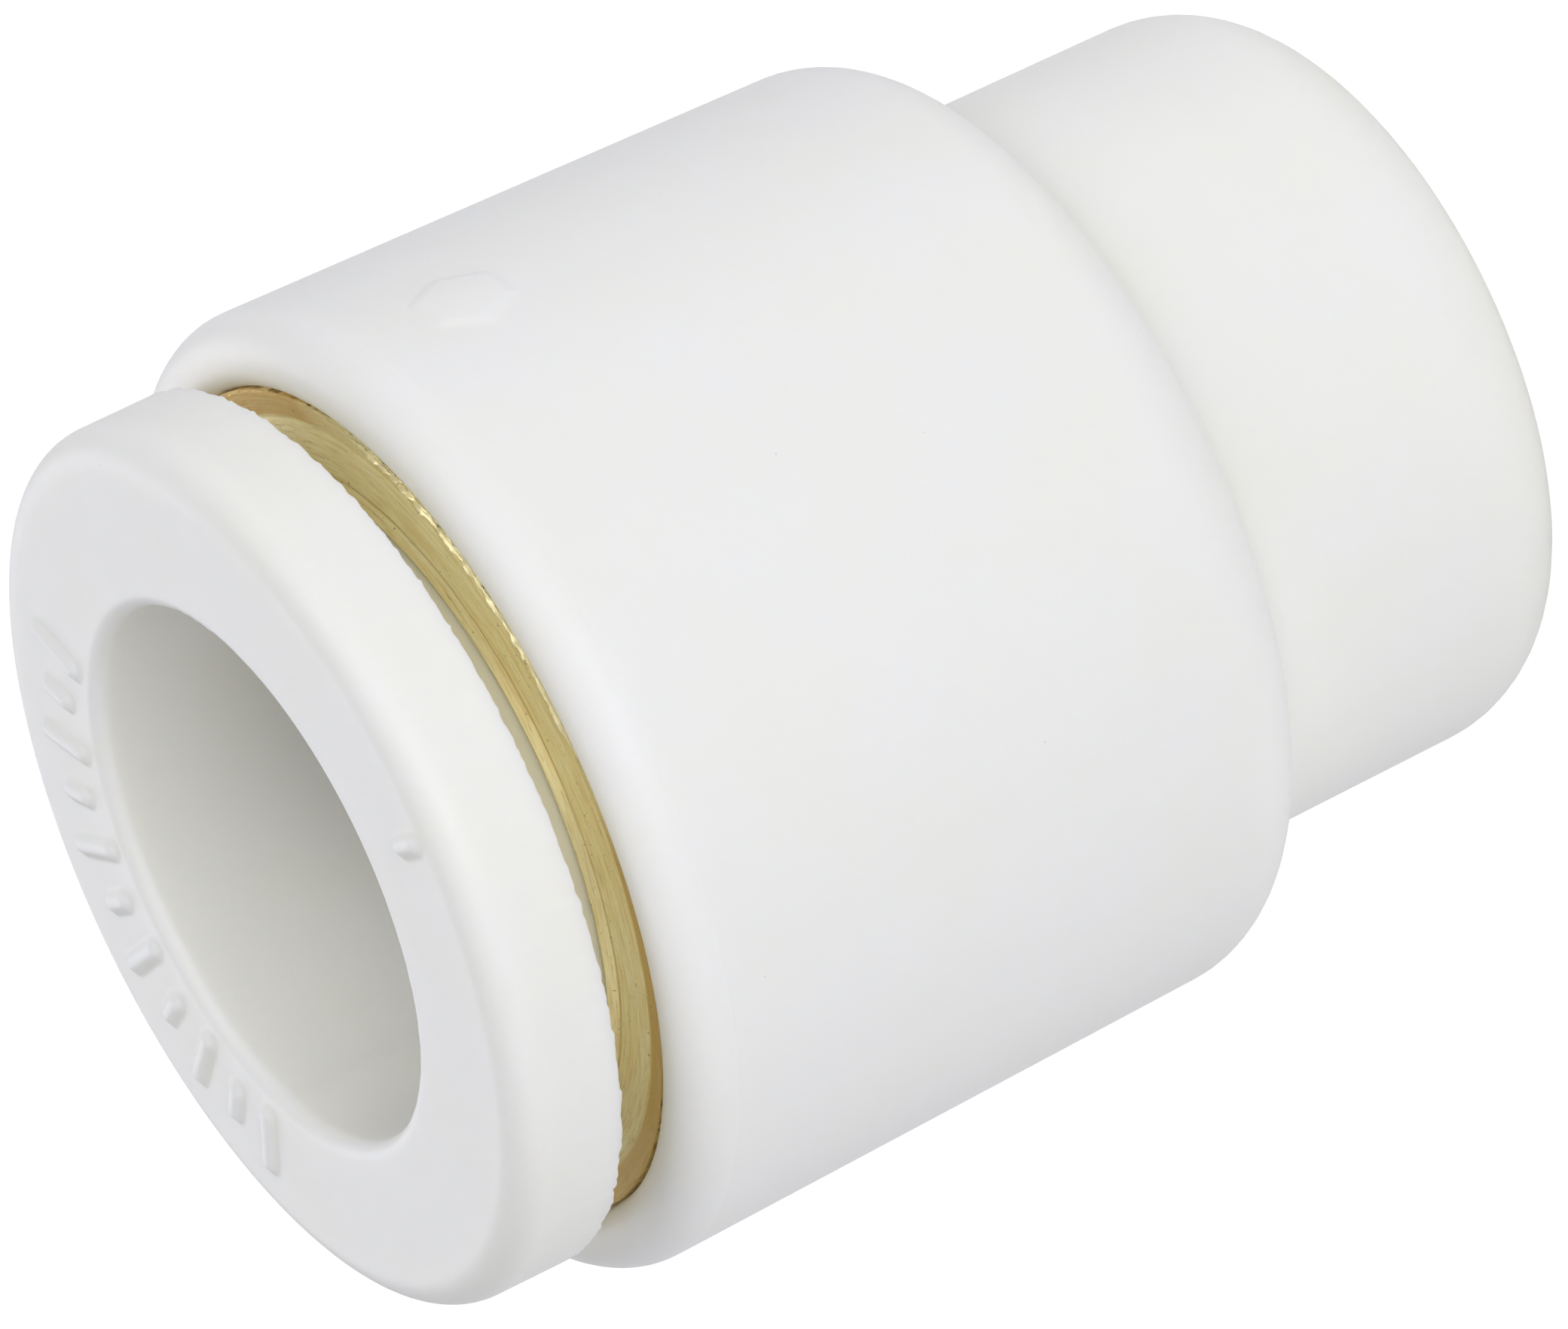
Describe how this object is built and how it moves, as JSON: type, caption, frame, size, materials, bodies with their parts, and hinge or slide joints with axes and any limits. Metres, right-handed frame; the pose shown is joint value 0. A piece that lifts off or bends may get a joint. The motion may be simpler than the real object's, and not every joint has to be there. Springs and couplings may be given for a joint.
{
  "type": "push to connect tube cap",
  "caption": "Round push-to-connect fitting that closes the end of a 10 mm tube: stepped closed body, brass guide ring and a press-to-release bushing.",
  "frame": {"origin": "centre of the flat closed end, where the fitting stands", "axes": "+Z along the port axis, from the closed end out of the port, the way a tube leaves; the lozenge on the barrel lies 35 degrees from +X towards -Y"},
  "size_m": [0.0186, 0.0186, 0.0241],
  "materials": {
    "white_body": "satin moulded, warm white",
    "white_bushing": "fine matt moulded, warm white",
    "inner_plastic": "smooth moulded",
    "seal_rubber": "matt",
    "brass": "turned, with a bright burred lip",
    "spring_steel": "bright rolled sheet"
  },
  "bodies": {
    "housing": {"body": "white_body", "tube_seal": "seal_rubber", "seal_spacer": "inner_plastic", "guide_ring": "brass"},
    "grip": {"collet": "inner_plastic", "chuck": "spring_steel"},
    "bushing": {"release_bushing": "white_bushing"}
  },
  "joints": [
    {"name": "release_slide", "type": "slide", "parent": "housing", "child": "bushing", "axis": [0, 0, -1], "range_m": [0, 0.00095], "stiffness_N_per_m": 5000},
    {"name": "grip_slide", "type": "slide", "parent": "housing", "child": "grip", "axis": [0, 0, 1], "range_m": [0, 0.0005]}
  ]
}
